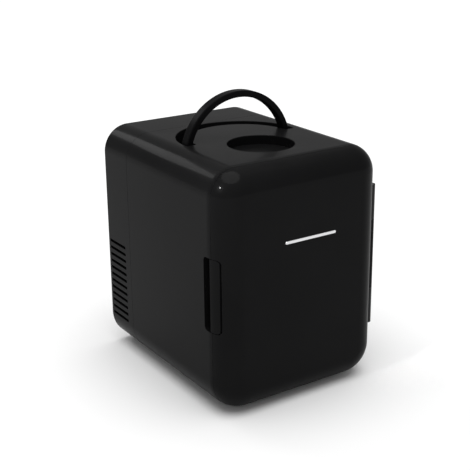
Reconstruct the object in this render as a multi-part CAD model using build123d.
from build123d import *
import os
from math import pi, sqrt

# A small carry-along cooler for six drink cans, cooled by a thermoelectric stack.
# Millimetres. +Z up, door to -Y, hinge on the +X side.
# Shapes are drawn about the middle of the cabinet's underside, and moved at the end so that the
# origin lies on the floor below the middle of the overall box, which takes in the hinge barrel.
# A setback is measured from the front or back face it names, an inset from the side, and a drop
# from the top, so that most places follow when width, depth or height changes.

# ---- Driving dimensions: outer body -------------------------------------------------------
width = 202.0
depth = 246.0
height = 260.0
top_corner_r = 29.5
bottom_corner_r = 35.0
front_edge_r = 27.5
rear_edge_r = 4.0

door_depth = 21.2
cover_depth = 54.4
seam_gap = 0.4

shell_wall = 3.0
door_wall = 2.5
cover_wall = 2.6
fit_gap = 0.2

# ---- Cold chamber ------------------------------------------------------------------------
chamber_side_wall = 31.0
chamber_top_wall = 36.0
chamber_floor = 24.0
chamber_back_setback = 78.0
chamber_corner_r = 9.0
liner_wall = 2.0
flange_setback = 2.0
flange_reach = 16.5
flange_corner_r = 15.0
shelf_height = 126.0
shelf_thick = 3.0
shelf_front_setback = 39.0
shelf_lip = 9.0
shelf_slot = 3.6
shelf_slot_length = 44.0
shelf_slot_pitch = 11.0
shelf_slot_rows = 9
shelf_spine = 12.0
rib_width = 3.0

# ---- Recess for a can, groove and carrying handle on the top -------------------------------
can_recess_r = 35.6
can_recess_depth = 10.0
can_recess_setback = 79.9
pan_wall = 2.5
rim_r = 0.8

groove_outer_r = 69.2
groove_outer_y = -3.7
groove_inner_r = 57.7
groove_inner_y = -7.7
groove_front_y = -8.4
groove_corner_r = 2.0
groove_depth = 18.0

handle_outer_r = 68.3
handle_thick = 7.2
handle_width = 11.5
handle_y = 2.5
handle_edge_r = 1.4
handle_pivot_drop = 10.0
handle_centre_drop = 9.3
handle_pin_r = 2.0
handle_shoulder_r = 3.5
running_gap = 0.05
side_gap = 0.3

# ---- Door, hinge and latch -----------------------------------------------------------------
plug_depth = 12.0
plug_gap = 2.0
plug_corner_r = 8.0
gasket_width = 14.0
gasket_bead = 6.0

hinge_bottom = 53.6
hinge_top_drop = 47.1
hinge_door_bottom = 94.4
hinge_door_top_drop = 85.7
hinge_offset = 1.2
knuckle_r = 5.0
knuckle_gap = 0.4
hinge_relief = 0.5
hinge_pin_r = 1.5
leaf_thick = 2.7
leaf_sunk = 1.5
leaf_length = 19.0
hinge_pad = 11.0

latch_bottom = 91.0
latch_top = 170.5
latch_corner_r = 4.5
pocket_back_setback = 34.4
pocket_depth = 11.0
pocket_wall = 2.5
latch_front_setback = 10.5
latch_bay_depth = 12.6
lever_front_setback = 12.4
lever_back_setback = 23.5
lever_thick = 3.2
lever_gap = 0.6
lever_corner_r = 3.0
lever_pivot_inset = 8.1
lever_pivot_setback = 15.8
lever_barrel_r = 2.9
lever_web = 2.4
lever_web_reach = 3.4
latch_pin_r = 1.25
latch_pin_seat = 2.0
spring_height = 9.0
spring_drop = 22.0
spring_wire_r = 0.35
spring_turns = 6
nose_height = 17.0
nose_thick = 2.6
nose_back_setback = 25.4
nose_clearance = 0.4
strike_thick = 1.2
strike_height = 24.0
strike_lip = 2.4
strike_margin = 4.0
strike_front_setback = 23.0
strike_back_setback = 32.0
strike_lip_setback = 24.6
strike_screw_setback = 29.0
strike_screw_r = 1.0

badge_length = 64.0
badge_height = 3.2
badge_thick = 0.8
badge_x = 6.0
badge_drop = 82.0

# ---- Thermoelectric stack and its fans -----------------------------------------------------
stack_z = 84.0
cold_room = 17.0
bulkhead_thick = 3.0
cold_window = 47.0
cold_grille_size = 58.0
cold_grille_thick = 2.0
cold_grille_rows = 7
cold_grille_pitch = 5.4
cold_grille_slot = 3.0
cold_grille_slot_length = 36.0
cold_fan_size = 40.0
cold_fan_thick = 10.0
cold_fan_wall = 1.0
cold_hub_r = 9.0
cold_fan_hole = 16.0
cold_fan_hole_r = 1.6
cold_sink_size = 46.0
cold_fin_length = 5.0
cold_fin_count = 12
cold_base = 4.0
peltier_size = 40.0
peltier_thick = 3.8
gasket_frame = 54.0
fin_pitch = 5.5
fin_thick = 1.5
fin_count = 17
fin_length = 20.0
heat_base = 5.0
hot_fan_size = 80.0
hot_fan_thick = 20.0
hot_fan_wall = 1.5
hot_hub_r = 17.0
hot_fan_hole_r = 1.9
fan_gap = 0.2
tip_gap = 0.8
blade_count = 7
blade_twist = 38.0
sink_screw_fins = 5.5
fan_screw_fins = 6.5

# ---- Back cover ----------------------------------------------------------------------------
vent_count = 12
vent_pitch = 8.16
vent_top_z = 126.8
vent_height = 3.5
vent_front_setback = 43.4
vent_back_setback = 6.6
grille_r = 39.0
grille_rows = 9
grille_pitch = 8.0
grille_slot = 3.6
grille_bar = 3.0
bay_width = 104.0
bay_height = 36.0
bay_depth = 4.5
bay_drop = 74.0
bay_corner_r = 4.0
post_inset = 23.0
post_low_z = 36.0
post_drop = 34.0
post_r = 4.5
cup_depth = 9.0
cup_r = 4.0

# ---- Parts in the control bay and behind it ------------------------------------------------
inlet_x = 34.0
inlet_width = 26.0
inlet_height = 17.0
inlet_depth = 16.0
inlet_slot = 8.0
inlet_slot_length = 15.0
inlet_slot_depth = 9.0
inlet_pin_r = 1.1
inlet_pin_pitch = 8.6
dc_x = 6.0
dc_r = 6.0
dc_bore_r = 3.3
dc_depth = 14.0
dc_bore_depth = 9.0
switch_x = -25.0
switch_width = 21.0
switch_height = 15.0
switch_depth = 15.0
switch_well_depth = 9.0
flange_rim = 2.0
flange_thick = 1.5
rocker_gap = 0.35
rocker_wall = 1.2
rocker_proud = 2.0
rocker_pivot_depth = 3.4
rocker_dish_r = 9.0
rocker_dish_z = 7.0
rocker_dish_depth = 2.4
lamp_x = -46.0
lamp_pitch = 9.0
lamp_r = 2.0
board_width = 100.0
board_height = 46.0
board_thick = 1.6
board_standoff = 7.0
board_post_r = 3.5
board_hole_r = 1.2
board_hole_inset = 5.0
core_x = -21.0
core_size = (30.0, 22.0, 30.0)
coil_size = (20.0, 22.0, 36.0)
coil_lift = 2.0
capacitor_sizes = ((6.5, 21.0), (5.0, 16.0), (5.0, 16.0))
capacitor_x = 10.0
capacitor_drop = 8.0
capacitor_step = (14.0, 8.0)

# ---- Fasteners and feet --------------------------------------------------------------------
screw_shank_r = 1.4
screw_head_r = 2.8
screw_head_h = 1.8
foot_height = 3.0
foot_r = 9.0
foot_sunk = 1.0
foot_inset = 51.0
foot_front_setback = 43.0
foot_back_setback = 69.0

# ---- Places that follow from the dimensions above ------------------------------------------
front_y = -depth / 2
back_y = depth / 2
side_x = width / 2
door_back_y = front_y + door_depth
cabinet_front_y = door_back_y + seam_gap
cover_front_y = back_y - cover_depth
cabinet_back_y = cover_front_y - seam_gap
flange_y = cabinet_front_y + flange_setback
chamber_width = width - 2 * chamber_side_wall
chamber_height = height - chamber_floor - chamber_top_wall
chamber_back_y = back_y - chamber_back_setback
chamber_mid_z = chamber_floor + chamber_height / 2
liner_back_y = chamber_back_y + liner_wall
hinge_y = (door_back_y + cabinet_front_y) / 2 - hinge_offset
shelf_front_y = front_y + shelf_front_setback
can_recess_y = front_y + can_recess_setback
handle_pivot_z = height - handle_pivot_drop
handle_centre_z = handle_pivot_z - handle_centre_drop
handle_inner_r = handle_outer_r - handle_thick
pin_inner_x = sqrt(groove_inner_r**2 - (handle_y - groove_inner_y)**2) - pan_wall
pin_outer_x = sqrt(groove_outer_r**2 - (handle_y - groove_outer_y)**2) + pan_wall
leg_outer_x = sqrt(handle_outer_r**2 - handle_centre_drop**2)
leg_inner_x = sqrt(handle_inner_r**2 - handle_centre_drop**2)
bulkhead_y = chamber_back_y + cold_room
bulkhead_back_y = bulkhead_y + bulkhead_thick
cold_fan_y = chamber_back_y + fan_gap
cold_fin_y = cold_fan_y + cold_fan_thick + fan_gap
peltier_y = cold_fin_y + cold_fin_length + cold_base
heat_sink_y = peltier_y + peltier_thick
fin_tip_y = heat_sink_y + heat_base + fin_length
hot_fan_y = fin_tip_y + fan_gap
vent_front_y = back_y - vent_front_setback
vent_back_y = back_y - vent_back_setback
bay_z = height - bay_drop
bay_floor_y = back_y - bay_depth
post_x = side_x - post_inset
post_high_z = height - post_drop
cup_floor_y = back_y - cup_depth - cover_wall
board_y = bulkhead_back_y + board_standoff
foot_x = side_x - foot_inset
foot_front_y = front_y + foot_front_setback
foot_back_y = back_y - foot_back_setback
badge_z = height - badge_drop
pocket_back_y = front_y + pocket_back_setback
latch_front_y = front_y + latch_front_setback
lever_front_y = front_y + lever_front_setback
lever_back_y = front_y + lever_back_setback
lever_pivot_x = -side_x + lever_pivot_inset
lever_pivot_y = front_y + lever_pivot_setback
nose_back_y = front_y + nose_back_setback
strike_x = -side_x + pocket_depth
strike_front_y = front_y + strike_front_setback
strike_back_y = front_y + strike_back_setback
strike_lip_back_y = front_y + strike_lip_setback
strike_screw_y = front_y + strike_screw_setback
hinge_top = height - hinge_top_drop
hinge_door_top = height - hinge_door_top_drop
hinge_screw_y = hinge_y + leaf_length - 6
hinge_screw_reach = (side_x - hinge_pad + 2, side_x)
rocker_pivot_y = bay_floor_y + flange_thick - rocker_pivot_depth
origin_shift_x = -knuckle_r / 2


# ---- Helpers -------------------------------------------------------------------------------
def block(x0, x1, y0, y1, z0, z1):
    """Box between two corners."""
    centre = ((x0 + x1) / 2, (y0 + y1) / 2, (z0 + z1) / 2)
    return Pos(*centre) * Box(x1 - x0, y1 - y0, z1 - z0)


def slab(y0, y1):
    """Everything between two planes across the depth."""
    return block(-width, width, y0, y1, -height, 2 * height)


def rod_x(radius, x0, x1, y, z):
    return Pos((x0 + x1) / 2, y, z) * Rot(0, 90, 0) * Cylinder(radius, x1 - x0)


def rod_y(radius, y0, y1, x, z):
    return Pos(x, (y0 + y1) / 2, z) * Rot(90, 0, 0) * Cylinder(radius, y1 - y0)


def rod_z(radius, z0, z1, x, y):
    return Pos(x, y, (z0 + z1) / 2) * Cylinder(radius, z1 - z0)


def upright_prism(sketch, y0, y1, x=0.0, z=0.0):
    """Sketch drawn in the front view, extruded from y0 back to y1."""
    return extrude(Plane((x, y1, z), x_dir=(1, 0, 0), z_dir=(0, -1, 0)) * sketch, amount=y1 - y0)


def rounded_plate(plate_width, plate_height, corner_r, y0, y1, x=0.0, z=0.0):
    return upright_prism(RectangleRounded(plate_width, plate_height, corner_r), y0, y1, x, z)


def rounded_body(inset):
    """The whole outer form, or the same form with every face moved in by inset."""
    half = (width / 2 - inset, height / 2 - inset)
    outline = Rectangle(2 * half[0], 2 * half[1])
    tops = outline.vertices().filter_by(lambda v: v.Y > 0)
    outline = fillet(tops, top_corner_r - inset)
    bottoms = outline.vertices().filter_by(lambda v: v.Y < 0 and abs(v.X) > half[0] - 1)
    outline = fillet(bottoms, bottom_corner_r - inset)
    y0 = front_y + inset
    y1 = back_y - inset
    form = upright_prism(outline, y0, y1, 0, height / 2)
    rear = form.edges().filter_by_position(Axis.Y, y1 - 0.01, y1 + 0.01)
    form = fillet(rear, max(rear_edge_r - inset, 0.5))
    front = form.edges().filter_by_position(Axis.Y, y0 - 0.01, y0 + 0.01)
    return fillet(front, front_edge_r - inset)


def screw(length, shank_r=screw_shank_r, head_r=screw_head_r, head_h=screw_head_h):
    """Cross-recess screw along +Z: its head stands on z = 0 and its shank runs down."""
    head = Pos(0, 0, head_h / 2) * Cylinder(head_r, head_h)
    head = fillet(head.edges().group_by(Axis.Z)[-1], head_h * 0.35)
    arm = head_r * 1.2
    slot = head_r * 0.3
    cross = Box(arm, slot, head_h) + Box(slot, arm, head_h)
    shank = Pos(0, 0, -length / 2) * Cylinder(shank_r, length)
    return head + shank - Pos(0, 0, head_h) * cross


def solids_of(shapes):
    """Separate solids kept together as one node."""
    return Compound(children=[solid for shape in shapes for solid in shape.solids()])


TO_BACK = Rot(-90, 0, 0)
TO_RIGHT = Rot(0, 90, 0)
TO_LEFT = Rot(0, -90, 0)


# ---- Forms that more than one part uses ----------------------------------------------------
def groove_form(grow, z0, z1):
    """The handle's crescent groove, or the trough round it when grow is its wall."""
    outer = Pos(0, groove_outer_y) * Circle(groove_outer_r + grow)
    inner = Pos(0, groove_inner_y) * Circle(groove_inner_r - grow)
    reach = groove_outer_r + grow + 10
    front = groove_front_y - grow
    crescent = (outer - inner) & Pos(0, front + reach) * Rectangle(2 * reach, 2 * reach)
    corners = crescent.vertices().group_by(Axis.Y)[0]
    crescent = fillet(corners, groove_corner_r + grow)
    return extrude(Pos(0, 0, z0) * crescent, amount=z1 - z0)


def pocket_form(grow):
    """Finger pocket in the cabinet's left corner, open to the side and to the door."""
    y0 = cabinet_front_y - 1
    y1 = pocket_back_y + grow
    outline = Rectangle(y1 - y0, latch_top - latch_bottom + 2 * grow)
    rear = outline.vertices().group_by(Axis.X)[-1]
    outline = fillet(rear, latch_corner_r + grow)
    plane = Plane((-side_x - 1, (y0 + y1) / 2, (latch_bottom + latch_top) / 2),
                  x_dir=(0, 1, 0), z_dir=(1, 0, 0))
    return extrude(plane * outline, amount=pocket_depth + 1 + grow)


def latch_bay_form(grow):
    """Bay in the door's left edge, where the latch lever lies."""
    y0 = latch_front_y - grow
    y1 = door_back_y + 1
    outline = Rectangle(y1 - y0, latch_top - latch_bottom + 2 * grow)
    front = outline.vertices().group_by(Axis.X)[0]
    outline = fillet(front, latch_corner_r + grow)
    plane = Plane((-side_x - 1, (y0 + y1) / 2, (latch_bottom + latch_top) / 2),
                  x_dir=(0, 1, 0), z_dir=(1, 0, 0))
    return extrude(plane * outline, amount=latch_bay_depth + 1 + grow)


def cabinet_hinge_pad(grow):
    """Solid corner behind the hinge, which its screws bite into."""
    return block(side_x - hinge_pad - grow, side_x + 1,
                 cabinet_front_y - 1, hinge_y + leaf_length + 4 + grow,
                 hinge_bottom - 4 - grow, hinge_top + 4 + grow)


def door_hinge_pad(grow):
    return block(side_x - hinge_pad - grow, side_x + 1,
                 hinge_y - knuckle_r - 4 - grow, door_back_y + 1,
                 hinge_bottom - 4 - grow, hinge_top + 4 + grow)


def hinge_barrel(radius, z0, z1):
    return rod_z(radius, z0, z1, side_x, hinge_y)


def post_places():
    return [(x, z) for x in (-post_x, post_x) for z in (post_low_z, post_high_z)]


def hinge_screw_places():
    """Heights of the two screws in each bracket."""
    places = []
    for z0, z1 in ((hinge_bottom, hinge_door_bottom), (hinge_door_top, hinge_top)):
        places += [z0 + (z1 - z0) / 4, z1 - (z1 - z0) / 4]
    return places


def foot_places():
    return {
        "foot_front_left": (-foot_x, foot_front_y),
        "foot_front_right": (foot_x, foot_front_y),
        "foot_rear_left": (-foot_x, foot_back_y),
        "foot_rear_right": (foot_x, foot_back_y),
    }


# ---- Cabinet -------------------------------------------------------------------------------
def flange_plate(grow, y0, y1):
    """Flat flange round the chamber's mouth, or the opening for it in the shell's front frame."""
    reach = 2 * (flange_reach + grow)
    return rounded_plate(chamber_width + reach, chamber_height + reach, flange_corner_r + grow,
                         y0, y1, 0, chamber_mid_z)


def cabinet_shell(outer, inner):
    shell = (outer & slab(cabinet_front_y, cabinet_back_y)) - inner
    pan = rod_z(can_recess_r + pan_wall, height - can_recess_depth - pan_wall, height - 1, 0, can_recess_y)
    shell += pan
    shell -= groove_form(0, height - groove_depth, height + 1)
    shell -= rod_z(can_recess_r, height - can_recess_depth, height + 1, 0, can_recess_y)
    rims = shell.edges().filter_by_position(Axis.Z, height - 0.01, height + 0.01)
    rims = rims.filter_by(lambda e: e.bounding_box().size.X < 2 * groove_outer_r + 1
                          and e.bounding_box().min.Y > can_recess_y - can_recess_r - 1
                          and e.bounding_box().max.Y < groove_outer_y + groove_outer_r + 1)
    shell = fillet(rims, rim_r)
    shell -= pocket_form(0)
    shell -= hinge_barrel(knuckle_r + hinge_relief, hinge_bottom - knuckle_gap, hinge_top + knuckle_gap)
    for z0, z1 in ((hinge_bottom, hinge_door_bottom), (hinge_door_top, hinge_top)):
        shell -= block(side_x - leaf_sunk, side_x + 1, hinge_y, hinge_y + leaf_length, z0, z1)
    for z in hinge_screw_places():
        shell -= rod_x(screw_shank_r, *hinge_screw_reach, hinge_screw_y, z)
    for x, y in foot_places().values():
        shell -= rod_z(foot_r, -1, foot_sunk, x, y)
    return shell


def front_frame(inner):
    """Flat frame inside the cabinet's mouth, between the shell and the liner's flange."""
    back = flange_y + liner_wall
    frame = (inner & slab(flange_y, back)) - flange_plate(fit_gap, flange_y - 1, back + 1)
    return frame - pocket_form(pocket_wall + fit_gap) - cabinet_hinge_pad(fit_gap)


def hinge_block(inner):
    """Solid strip inside the shell that the hinge screws bite into."""
    block_form = cabinet_hinge_pad(0) & inner & slab(cabinet_front_y, cabinet_back_y)
    block_form -= hinge_barrel(knuckle_r + hinge_relief, hinge_bottom - knuckle_gap, hinge_top + knuckle_gap)
    for z in hinge_screw_places():
        block_form -= rod_x(screw_shank_r, *hinge_screw_reach, hinge_screw_y, z)
    return block_form


def handle_well(inner):
    """Crescent trough under the groove's opening, which holds the handle's pins."""
    floor_z = height - groove_depth
    well = groove_form(pan_wall, floor_z - pan_wall, height) - groove_form(0, floor_z, height + 1)
    well &= inner
    for side in (-1, 1):
        reach = sorted((side * (pin_inner_x - 1), side * (pin_outer_x + 1)))
        well -= rod_x(handle_pin_r, *reach, handle_y, handle_pivot_z)
    return well


def latch_pocket(inner):
    """Cup behind the finger opening, which carries the strike."""
    cup = (pocket_form(pocket_wall) - pocket_form(0)) & inner & slab(cabinet_front_y, cabinet_back_y)
    for z in strike_screw_heights():
        cup -= rod_x(strike_screw_r, strike_x, strike_x + pocket_wall, strike_screw_y, z)
    return cup


def inner_liner(flange_outline):
    outer = rounded_plate(chamber_width + 2 * liner_wall, chamber_height + 2 * liner_wall,
                          chamber_corner_r + liner_wall, flange_y, liner_back_y, 0, chamber_mid_z)
    flange = flange_plate(0, flange_y, flange_y + liner_wall) & flange_outline
    liner = outer + (flange - cabinet_hinge_pad(fit_gap) - pocket_form(pocket_wall + fit_gap))
    liner -= rounded_plate(chamber_width, chamber_height, chamber_corner_r,
                           flange_y - 1, chamber_back_y, 0, chamber_mid_z)
    rib_top = chamber_floor + shelf_height
    for side in (-1, 1):
        reach = sorted((side * (chamber_width / 2 - rib_width), side * (chamber_width / 2 + 1)))
        liner += block(*reach, shelf_front_y, chamber_back_y, rib_top - rib_width, rib_top)
    liner -= block(-cold_window / 2, cold_window / 2, chamber_back_y - 1, liner_back_y + 1,
                   stack_z - cold_window / 2, stack_z + cold_window / 2)
    return liner


def foam_insulation(foam_outline):
    foam = foam_outline & slab(flange_y + liner_wall + fit_gap, bulkhead_y - fit_gap)
    hollow = rounded_plate(chamber_width + 2 * liner_wall + 2 * fit_gap,
                           chamber_height + 2 * liner_wall + 2 * fit_gap,
                           chamber_corner_r + liner_wall + fit_gap,
                           cabinet_front_y, liner_back_y + fit_gap, 0, chamber_mid_z)
    half = cold_window / 2 + 1
    passage = block(-half, half, chamber_back_y, bulkhead_y, stack_z - half, stack_z + half)
    room = pan_wall + fit_gap
    over = height + 1
    foam -= hollow + passage
    foam -= groove_form(room, height - groove_depth - room, over)
    foam -= rod_z(can_recess_r + room, height - can_recess_depth - room, over, 0, can_recess_y)
    foam -= pocket_form(pocket_wall + fit_gap) + cabinet_hinge_pad(fit_gap)
    for side in (-1, 1):
        reach = sorted((side * (pin_inner_x - 2), side * (pin_outer_x + 2)))
        foam -= rod_x(handle_pin_r + 1, *reach, handle_y, handle_pivot_z)
    return foam


def shelf():
    z0 = chamber_floor + shelf_height
    half = chamber_width / 2 - 1.0
    y1 = chamber_back_y - 3
    tray = block(-half, half, shelf_front_y, y1, z0, z0 + shelf_thick)
    tray += block(-half, half, shelf_front_y, shelf_front_y + shelf_thick, z0, z0 + shelf_lip)
    slot = SlotOverall(shelf_slot_length, shelf_slot)
    for side in (-1, 1):
        x = side * (shelf_slot_length + shelf_spine) / 2
        for row in range(shelf_slot_rows):
            y = shelf_front_y + 2 * shelf_lip + row * shelf_slot_pitch
            tray -= extrude(Pos(x, y, z0) * slot, amount=shelf_thick)
    return tray


def rear_bulkhead(outline):
    plate = outline & slab(bulkhead_y, bulkhead_back_y)
    half = cold_window / 2
    plate -= block(-half, half, bulkhead_y - 1, bulkhead_back_y + 1, stack_z - half, stack_z + half)
    room = pan_wall + fit_gap
    plate -= groove_form(room, height - groove_depth - room, height + 1)
    for x, z in post_places():
        plate += rod_y(post_r, bulkhead_back_y - 1, cup_floor_y - fit_gap, x, z)
        plate -= rod_y(screw_shank_r, cup_floor_y - 14, cup_floor_y, x, z)
    for x, z in heat_sink_screw_places():
        plate += rod_y(post_r, bulkhead_back_y - 1, heat_sink_y - fit_gap, x, z)
        plate -= rod_y(screw_shank_r, bulkhead_y - 1, heat_sink_y, x, z)
    for x, z in board_screw_places():
        plate += rod_y(board_post_r, bulkhead_back_y - 1, board_y, x, z)
        plate -= rod_y(board_hole_r, bulkhead_back_y, board_y + 1, x, z)
    return plate


# ---- Cooling stack -------------------------------------------------------------------------
def heat_sink_screw_places():
    """Four places in the gaps between fins."""
    reach = sink_screw_fins * fin_pitch
    return [(x, stack_z + z) for x in (-reach, reach) for z in (-reach, reach)]


def fan_screw_places():
    reach = fan_screw_fins * fin_pitch
    return [(x, stack_z + z) for x in (-reach, reach) for z in (-reach, reach)]


def board_screw_places():
    half_x = board_width / 2 - board_hole_inset
    half_z = board_height / 2 - board_hole_inset
    return [(x, bay_z + z) for x in (-half_x, half_x) for z in (-half_z, half_z)]


def square(size, y0, y1, z=stack_z, corner=1.5):
    return rounded_plate(size, size, corner, y0, y1, 0, z)


def cold_grille():
    plate = square(cold_grille_size, chamber_back_y - cold_grille_thick, chamber_back_y, corner=6)
    slot = SlotOverall(cold_grille_slot_length, cold_grille_slot)
    for row in range(cold_grille_rows):
        z = stack_z + (row - (cold_grille_rows - 1) / 2) * cold_grille_pitch
        plate -= upright_prism(slot, chamber_back_y - cold_grille_thick - 1, chamber_back_y + 1, 0, z)
    return plate


def fan_frame(size, y0, thick, wall, hub_r, hole_pitch, hole_r):
    """Square fan housing with its motor mount on four struts at the front."""
    swept_r = size / 2 - wall
    frame = square(size, y0, y0 + thick, corner=size * 0.06)
    frame -= rod_y(swept_r, y0 - 1, y0 + thick + 1, 0, stack_z)
    strut = size * 0.035
    plate = thick * 0.14
    frame += rod_y(hub_r, y0, y0 + plate, 0, stack_z)
    frame += block(-swept_r - 0.5, swept_r + 0.5, y0, y0 + plate, stack_z - strut, stack_z + strut)
    frame += block(-strut, strut, y0, y0 + plate, stack_z - swept_r - 0.5, stack_z + swept_r + 0.5)
    for x in (-hole_pitch, hole_pitch):
        for z in (-hole_pitch, hole_pitch):
            frame -= rod_y(hole_r, y0 - 1, y0 + thick + 1, x, stack_z + z)
    return frame


def fan_rotor(size, y0, thick, wall, hub_r):
    """Hub with swept blades, a running gap clear of its housing."""
    tip_r = size / 2 - wall - tip_gap
    low = y0 + thick * 0.2
    high = y0 + thick * 0.95
    rotor = rod_y(hub_r, low, high, 0, stack_z)
    rotor = fillet(rotor.edges().group_by(Axis.Y)[-1], hub_r * 0.08)
    chord = (high - low) * 1.02
    span = tip_r - hub_r + 1
    blade = Pos(hub_r - 1 + span / 2, 0, 0) * Rot(blade_twist, 0, 0) * Box(span, chord, thick * 0.07)
    limit = rod_y(tip_r, low + 0.3, high - 0.3, 0, stack_z)
    for turn in range(blade_count):
        angle = turn * 360 / blade_count
        rotor += (Pos(0, (low + high) / 2, stack_z) * Rot(0, angle, 0) * blade) & limit
    return rotor


def cold_sink():
    half = cold_sink_size / 2
    y1 = cold_fin_y + cold_fin_length
    sink = block(-half, half, y1, y1 + cold_base, stack_z - half, stack_z + half)
    pitch = (cold_sink_size - fin_thick) / (cold_fin_count - 1)
    for i in range(cold_fin_count):
        x = -half + fin_thick / 2 + i * pitch
        sink += block(x - fin_thick / 2, x + fin_thick / 2, cold_fin_y, y1,
                      stack_z - half, stack_z + half)
    return sink


def heat_sink():
    half = (fin_count - 1) / 2 * fin_pitch + fin_thick / 2
    base_back = heat_sink_y + heat_base
    sink = block(-half, half, heat_sink_y, base_back, stack_z - half, stack_z + half)
    for i in range(fin_count):
        x = (i - (fin_count - 1) / 2) * fin_pitch
        sink += block(x - fin_thick / 2, x + fin_thick / 2, base_back, fin_tip_y,
                      stack_z - half, stack_z + half)
    for x, z in heat_sink_screw_places():
        sink -= rod_y(screw_shank_r, heat_sink_y - 1, base_back + 1, x, z)
    return sink


def peltier_gasket():
    y0 = bulkhead_back_y + fit_gap
    frame = square(gasket_frame, y0, heat_sink_y - fit_gap)
    return frame - square(cold_window, y0 - 1, heat_sink_y, corner=1)


# ---- Back cover and what it carries --------------------------------------------------------
def back_cover(outer, inner):
    cover = (outer & slab(cover_front_y, back_y)) - inner
    bay = rounded_plate(bay_width + 2 * cover_wall, bay_height + 2 * cover_wall,
                        bay_corner_r + cover_wall, bay_floor_y - cover_wall, back_y - 1, 0, bay_z)
    cover += bay
    cover -= rounded_plate(bay_width, bay_height, bay_corner_r, bay_floor_y, back_y + 1, 0, bay_z)
    for i in range(vent_count):
        z = vent_top_z - i * vent_pitch
        slot = Pos((vent_front_y + vent_back_y) / 2, 0) * RectangleRounded(
            vent_back_y - vent_front_y, vent_height, vent_height * 0.35)
        across = Plane((-width, 0, z), x_dir=(0, 1, 0), z_dir=(1, 0, 0))
        cover -= extrude(across * slot, amount=2 * width)
    for row in range(grille_rows):
        z = (row - (grille_rows - 1) / 2) * grille_pitch
        chord = sqrt(grille_r**2 - z**2)
        length = chord - grille_bar / 2
        for side in (-1, 1):
            x = side * (grille_bar / 2 + length / 2)
            cover -= upright_prism(SlotOverall(length, grille_slot),
                                   back_y - 2 * cover_wall, back_y + 1, x, stack_z + z)
    for x, z in post_places():
        cover += rod_y(cup_r + cover_wall, cup_floor_y, back_y - 1, x, z)
        cover -= rod_y(cup_r, cup_floor_y + cover_wall, back_y + 1, x, z)
        cover -= rod_y(screw_shank_r, cup_floor_y - 1, cup_floor_y + cover_wall + 1, x, z)
    floor = (bay_floor_y - cover_wall - 1, bay_floor_y + 1)
    for x, w, h in ((inlet_x, inlet_width, inlet_height), (switch_x, switch_width, switch_height)):
        cover -= rounded_plate(w, h, 1.5, *floor, x, bay_z)
    cover -= rod_y(dc_r, *floor, dc_x, bay_z)
    for side in (-1, 1):
        cover -= rod_y(lamp_r, *floor, lamp_x, bay_z + side * lamp_pitch / 2)
    return cover


def flanged_box(x, box_width, box_height, box_depth):
    """Snap-in housing: a box through the panel and a thin flange on its face."""
    body = rounded_plate(box_width, box_height, 1.5, bay_floor_y - box_depth, bay_floor_y, x, bay_z)
    rim = rounded_plate(box_width + 2 * flange_rim, box_height + 2 * flange_rim, 2.5,
                        bay_floor_y, bay_floor_y + flange_thick, x, bay_z)
    rim = fillet(rim.edges().group_by(Axis.Y)[-1], 0.5)
    return body + rim


def ac_inlet():
    face = bay_floor_y + flange_thick
    housing = flanged_box(inlet_x, inlet_width, inlet_height, inlet_depth)
    housing -= upright_prism(SlotOverall(inlet_slot_length, inlet_slot),
                             face - inlet_slot_depth, face + 1, inlet_x, bay_z)
    for side in (-1, 1):
        housing -= rod_y(inlet_pin_r, bay_floor_y - inlet_depth - 1, face,
                         inlet_x + side * inlet_pin_pitch / 2, bay_z)
    return housing


def ac_inlet_pins():
    face = bay_floor_y + flange_thick
    return solids_of(rod_y(inlet_pin_r, bay_floor_y - inlet_depth - 5, face - 1.5,
                           inlet_x + side * inlet_pin_pitch / 2, bay_z) for side in (-1, 1))


def dc_socket():
    face = bay_floor_y + flange_thick
    socket = rod_y(dc_r, bay_floor_y - dc_depth, bay_floor_y, dc_x, bay_z)
    socket += rod_y(dc_r + flange_rim, bay_floor_y, face, dc_x, bay_z)
    socket -= rod_y(dc_bore_r, face - dc_bore_depth, face + 1, dc_x, bay_z)
    return socket + rod_y(1.0, face - dc_bore_depth - 1, face - 1, dc_x, bay_z)


def switch_housing():
    face = bay_floor_y + flange_thick
    housing = flanged_box(switch_x, switch_width, switch_height, switch_depth)
    return housing - rounded_plate(switch_width - 2 * rocker_wall, switch_height - 2 * rocker_wall, 0.6,
                                   face - switch_well_depth, face + 1, switch_x, bay_z)


def mode_rocker():
    """Rocker turning about X: its crown and its heel are arcs about the pivot."""
    half = switch_height / 2 - rocker_wall - rocker_gap
    long = switch_width - 2 * rocker_wall - 2 * rocker_gap
    ends = (switch_x - long / 2, switch_x + long / 2)
    face = bay_floor_y + flange_thick
    rocker = block(*ends, rocker_pivot_y, face + rocker_proud, bay_z - half, bay_z + half)
    rocker &= rod_x(half, *ends, rocker_pivot_y, bay_z)
    dish_y = rocker_pivot_y + half + rocker_dish_r - rocker_dish_depth
    for side in (-1, 1):
        rocker -= rod_x(rocker_dish_r, *ends, dish_y, bay_z + side * rocker_dish_z)
    return rocker + rod_x(half * 0.45, *ends, rocker_pivot_y, bay_z)


def indicator_lenses():
    lenses = []
    for side in (-1, 1):
        z = bay_z + side * lamp_pitch / 2
        lens = rod_y(lamp_r, bay_floor_y - cover_wall - 4, bay_floor_y + 1.0, lamp_x, z)
        lenses.append(fillet(lens.edges().group_by(Axis.Y)[-1], 0.8))
    return solids_of(lenses)


def power_board():
    board = rounded_plate(board_width, board_height, 2, board_y, board_y + board_thick, 0, bay_z)
    for x, z in board_screw_places():
        board -= rod_y(board_hole_r, board_y - 1, board_y + board_thick + 1, x, z)
    return board


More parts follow.
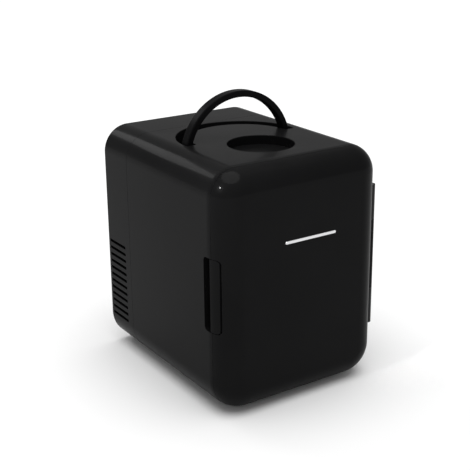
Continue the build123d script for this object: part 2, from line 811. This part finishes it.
def transformer():
    y0 = board_y + board_thick
    core = Pos(core_x, y0 + core_size[1] / 2, bay_z) * Box(*core_size)
    core = fillet(core.edges().filter_by(Axis.Y), 1.5)
    coil = Pos(core_x, y0 + coil_lift + coil_size[1] / 2, bay_z) * Box(*coil_size)
    return core + fillet(coil.edges().filter_by(Axis.X), 3)


def capacitors():
    y0 = board_y + board_thick
    cans = []
    for i, (radius, tall) in enumerate(capacitor_sizes):
        x = capacitor_x + i * capacitor_step[0]
        z = bay_z - capacitor_drop + i * capacitor_step[1]
        can = rod_y(radius, y0, y0 + tall, x, z)
        cans.append(fillet(can.edges().group_by(Axis.Y)[-1], 0.8))
    return solids_of(cans)


# ---- Door ----------------------------------------------------------------------------------
def door_outer(outer, inner):
    shell = (outer & slab(front_y, door_back_y)) - inner
    backing = (door_hinge_pad(0) + latch_bay_form(pocket_wall)) & outer & slab(front_y, door_back_y)
    shell += backing
    for z0, z1 in ((hinge_bottom - knuckle_gap, hinge_door_bottom + knuckle_gap),
                   (hinge_door_top - knuckle_gap, hinge_top + knuckle_gap)):
        shell -= hinge_barrel(knuckle_r + hinge_relief, z0, z1)
    shell += hinge_barrel(knuckle_r, hinge_door_bottom + knuckle_gap, hinge_door_top - knuckle_gap)
    shell -= hinge_barrel(hinge_pin_r + running_gap, hinge_bottom, hinge_top)
    shell -= latch_bay_form(0)
    shell -= rod_z(latch_pin_r, latch_bottom - latch_pin_seat, latch_top + latch_pin_seat,
                   lever_pivot_x, lever_pivot_y)
    return shell


def door_plug(grow, y1):
    return rounded_plate(chamber_width - 2 * plug_gap + 2 * grow, chamber_height - 2 * plug_gap + 2 * grow,
                         plug_corner_r + grow, door_back_y - liner_wall, y1, 0, chamber_mid_z)


def door_liner(outline):
    tray = outline & slab(door_back_y - liner_wall, door_back_y)
    tray -= door_hinge_pad(fit_gap) + latch_bay_form(pocket_wall + fit_gap)
    tray += door_plug(0, door_back_y + plug_depth)
    return tray - (door_plug(-liner_wall, door_back_y + plug_depth - liner_wall))


def door_foam(outline):
    foam = outline & slab(front_y + door_wall, door_back_y - liner_wall - fit_gap)
    foam -= door_hinge_pad(fit_gap) + latch_bay_form(pocket_wall + fit_gap)
    core = rounded_plate(chamber_width - 2 * plug_gap - 2 * liner_wall - 2 * fit_gap,
                         chamber_height - 2 * plug_gap - 2 * liner_wall - 2 * fit_gap,
                         plug_corner_r - liner_wall - fit_gap, door_back_y - liner_wall - 1,
                         door_back_y + plug_depth - liner_wall - fit_gap, 0, chamber_mid_z)
    return foam + core


def gasket_ring(band, y0, y1):
    mid_width = chamber_width + gasket_width + 4
    mid_height = chamber_height + gasket_width + 4
    outer = rounded_plate(mid_width + band, mid_height + band, chamber_corner_r + band,
                          y0, y1, 0, chamber_mid_z)
    inner = rounded_plate(mid_width - band, mid_height - band, chamber_corner_r,
                          y0 - 1, y1 + 1, 0, chamber_mid_z)
    return outer - inner


def door_gasket():
    face = flange_y - fit_gap
    flat = gasket_ring(gasket_width, door_back_y, door_back_y + 0.9)
    return flat + gasket_ring(gasket_bead, door_back_y, face)


def badge():
    bar = rounded_plate(badge_length, badge_height, badge_height / 2 - 0.1,
                        front_y - badge_thick, front_y, badge_x, badge_z)
    return fillet(bar.edges().group_by(Axis.Y)[0], badge_thick * 0.5)


# ---- Hinge and latch pieces ----------------------------------------------------------------
def hinge_bracket(z0, z1):
    bracket = hinge_barrel(knuckle_r, z0, z1)
    bracket += block(side_x - leaf_sunk, side_x - leaf_sunk + leaf_thick,
                     hinge_y, hinge_y + leaf_length, z0, z1)
    bracket -= hinge_barrel(hinge_pin_r, z0 - 1, z1 + 1)
    for z in hinge_screw_places():
        if z0 < z < z1:
            bracket -= rod_x(screw_shank_r, side_x - 3, side_x + 3, hinge_screw_y, z)
    return bracket


def hinge_screws():
    x = side_x - leaf_sunk + leaf_thick
    return solids_of(Pos(x, hinge_screw_y, z) * TO_RIGHT * screw(leaf_thick + 6)
                     for z in hinge_screw_places())


def latch_lever(outer, lever_inner):
    z0 = latch_bottom + lever_gap
    z1 = latch_top - lever_gap
    reach = block(-side_x - 1, -side_x + 30, lever_front_y, lever_back_y, z0, z1)
    front = reach.edges().filter_by(Axis.X).filter_by_position(Axis.Y, lever_front_y, lever_front_y)
    reach = fillet(front, lever_corner_r)
    lever = (outer & reach) - lever_inner
    lever += rod_z(lever_barrel_r, z0, z1, lever_pivot_x, lever_pivot_y)
    lever += block(lever_pivot_x - lever_web_reach, lever_pivot_x,
                   lever_pivot_y - lever_web / 2, lever_pivot_y + lever_web / 2, z0, z1)
    mid = (z0 + z1) / 2
    nose_x = strike_x - strike_thick - strike_lip
    lever += block(nose_x - nose_thick, nose_x - nose_clearance, lever_pivot_y, nose_back_y,
                   mid - nose_height / 2, mid + nose_height / 2) & outer
    spring_low = z1 - spring_drop
    lever -= rod_z(lever_barrel_r + 0.4, spring_low, spring_low + spring_height,
                   lever_pivot_x, lever_pivot_y)
    return lever - rod_z(latch_pin_r + running_gap, z0 - 1, z1 + 1, lever_pivot_x, lever_pivot_y)


def latch_spring():
    pitch = (spring_height - 3) / spring_turns
    radius = latch_pin_r + 0.3 + spring_wire_r
    z0 = latch_top - lever_gap - spring_drop + 1.5
    path = Helix(pitch, pitch * spring_turns, radius)
    start = Plane(path @ 0, z_dir=path % 0)
    coil = sweep(start * Circle(spring_wire_r), path=path, is_frenet=True)
    return Pos(lever_pivot_x, lever_pivot_y, z0) * coil


def strike_screw_heights():
    mid = (latch_bottom + latch_top) / 2
    reach = strike_height / 2 - strike_margin
    return [mid - reach, mid + reach]


def latch_strike():
    mid = (latch_bottom + latch_top) / 2
    z0 = mid - strike_height / 2
    z1 = mid + strike_height / 2
    plate = block(strike_x - strike_thick, strike_x, strike_front_y, strike_back_y, z0, z1)
    plate += block(strike_x - strike_thick - strike_lip, strike_x,
                   strike_front_y, strike_lip_back_y, z0 + strike_margin, z1 - strike_margin)
    for z in strike_screw_heights():
        plate -= rod_x(strike_screw_r, strike_x - 3, strike_x + 1, strike_screw_y, z)
    return plate


def strike_screws():
    return solids_of(Pos(strike_x - strike_thick, strike_screw_y, z) * TO_LEFT
                     * screw(strike_thick + 2, strike_screw_r, 1.9, 1.1) for z in strike_screw_heights())


# ---- Carrying handle -----------------------------------------------------------------------
def carry_handle():
    arch = Circle(handle_outer_r) - Circle(handle_inner_r)
    reach = handle_outer_r + 1
    arch &= Pos(0, handle_centre_drop + reach) * Rectangle(2 * reach, 2 * reach)
    half = handle_width / 2
    bail = upright_prism(arch, handle_y - half, handle_y + half, 0, handle_centre_z)
    bail = fillet(bail.edges().filter_by(GeomType.CIRCLE), handle_edge_r)
    for side in (-1, 1):
        boss = rod_x(half, leg_inner_x, leg_outer_x, handle_y, handle_pivot_z)
        boss = chamfer(boss.edges().filter_by(GeomType.CIRCLE), handle_edge_r * 0.85)
        bail += boss if side > 0 else mirror(boss, about=Plane.YZ)
    return bail - rod_x(handle_pin_r + running_gap, -reach, reach, handle_y, handle_pivot_z)


def handle_pin(side):
    """Pivot pin held in both walls of the groove, with a shoulder beside the leg."""
    wall_at_shoulder = sqrt(groove_inner_r**2 - (handle_y - handle_shoulder_r - groove_inner_y)**2)
    leg_at_shoulder = sqrt(handle_inner_r**2 - (handle_centre_drop + handle_shoulder_r)**2)
    shoulder = (wall_at_shoulder + side_gap, leg_at_shoulder - side_gap)
    pin = rod_x(handle_pin_r, pin_inner_x, pin_outer_x, handle_y, handle_pivot_z)
    pin += rod_x(handle_shoulder_r, *shoulder, handle_y, handle_pivot_z)
    return pin if side > 0 else mirror(pin, about=Plane.YZ)


# ---- The assembly --------------------------------------------------------------------------
def build_nodes():
    outer = rounded_body(0)
    shell_inner = rounded_body(shell_wall)
    shell_fit = rounded_body(shell_wall + fit_gap)
    door_inner = rounded_body(door_wall)
    door_fit = rounded_body(door_wall + fit_gap)
    cover_inner = rounded_body(cover_wall)
    lever_inner = rounded_body(lever_thick)
    nodes = {
        "cabinet_shell": cabinet_shell(outer, shell_inner),
        "front_frame": front_frame(shell_inner),
        "hinge_block": hinge_block(shell_inner),
        "handle_well": handle_well(shell_inner),
        "latch_pocket": latch_pocket(shell_inner),
        "inner_liner": inner_liner(shell_fit),
        "foam_insulation": foam_insulation(shell_fit),
        "shelf": shelf(),
        "rear_bulkhead": rear_bulkhead(shell_fit),
        "back_cover": back_cover(outer, cover_inner),
        "cold_grille": cold_grille(),
        "cold_fan_frame": fan_frame(cold_fan_size, cold_fan_y, cold_fan_thick, cold_fan_wall,
                                    cold_hub_r, cold_fan_hole, cold_fan_hole_r),
        "cold_fan_rotor": fan_rotor(cold_fan_size, cold_fan_y, cold_fan_thick, cold_fan_wall,
                                    cold_hub_r),
        "cold_sink": cold_sink(),
        "peltier_module": square(peltier_size, peltier_y, heat_sink_y, corner=0.5),
        "peltier_gasket": peltier_gasket(),
        "heat_sink": heat_sink(),
        "hot_fan_frame": fan_frame(hot_fan_size, hot_fan_y, hot_fan_thick, hot_fan_wall,
                                   hot_hub_r, fan_screw_fins * fin_pitch, hot_fan_hole_r),
        "hot_fan_rotor": fan_rotor(hot_fan_size, hot_fan_y, hot_fan_thick, hot_fan_wall, hot_hub_r),
        "heat_sink_screws": solids_of(
            Pos(x, heat_sink_y + heat_base, z) * TO_BACK * screw(heat_base + 5, screw_shank_r, 1.9, 1.8)
            for x, z in heat_sink_screw_places()),
        "fan_screws": solids_of(
            Pos(x, hot_fan_y + hot_fan_thick, z) * TO_BACK * screw(hot_fan_thick + 8, 1.8, 3.2, 1.8)
            for x, z in fan_screw_places()),
        "power_board": power_board(),
        "transformer": transformer(),
        "capacitors": capacitors(),
        "board_screws": solids_of(
            Pos(x, board_y + board_thick, z) * TO_BACK * screw(board_thick + 5, board_hole_r, 2.4, 1.6)
            for x, z in board_screw_places()),
        "ac_inlet": ac_inlet(),
        "ac_inlet_pins": ac_inlet_pins(),
        "dc_socket": dc_socket(),
        "mode_switch_housing": switch_housing(),
        "mode_rocker": mode_rocker(),
        "indicator_lenses": indicator_lenses(),
        "cover_screws": solids_of(
            Pos(x, cup_floor_y + cover_wall, z) * TO_BACK * screw(cover_wall + 9)
            for x, z in post_places()),
        "hinge_bracket_lower": hinge_bracket(hinge_bottom, hinge_door_bottom),
        "hinge_bracket_upper": hinge_bracket(hinge_door_top, hinge_top),
        "hinge_screws": hinge_screws(),
        "hinge_pin": hinge_barrel(hinge_pin_r, hinge_bottom, hinge_top),
        "door_outer": door_outer(outer, door_inner),
        "door_foam": door_foam(door_fit),
        "door_liner": door_liner(door_fit),
        "door_gasket": door_gasket(),
        "badge": badge(),
        "latch_lever": latch_lever(outer, lever_inner),
        "latch_pin": rod_z(latch_pin_r, latch_bottom - latch_pin_seat, latch_top + latch_pin_seat,
                           lever_pivot_x, lever_pivot_y),
        "latch_spring": latch_spring(),
        "latch_strike": latch_strike(),
        "strike_screws": strike_screws(),
        "carry_handle": carry_handle(),
        "handle_pin_left": handle_pin(-1),
        "handle_pin_right": handle_pin(1),
    }
    for name, (x, y) in foot_places().items():
        foot = rod_z(foot_r, -foot_height, foot_sunk, x, y)
        nodes[name] = fillet(foot.edges().group_by(Axis.Z)[0], 1.0)
    return nodes


def main():
    os.makedirs("parts", exist_ok=True)
    to_floor = Pos(origin_shift_x, 0, foot_height)
    for name, shape in build_nodes().items():
        export_step(to_floor * shape, f"parts/{name}.step")
        print(name, len(shape.solids()), round(shape.volume, 1))


main()
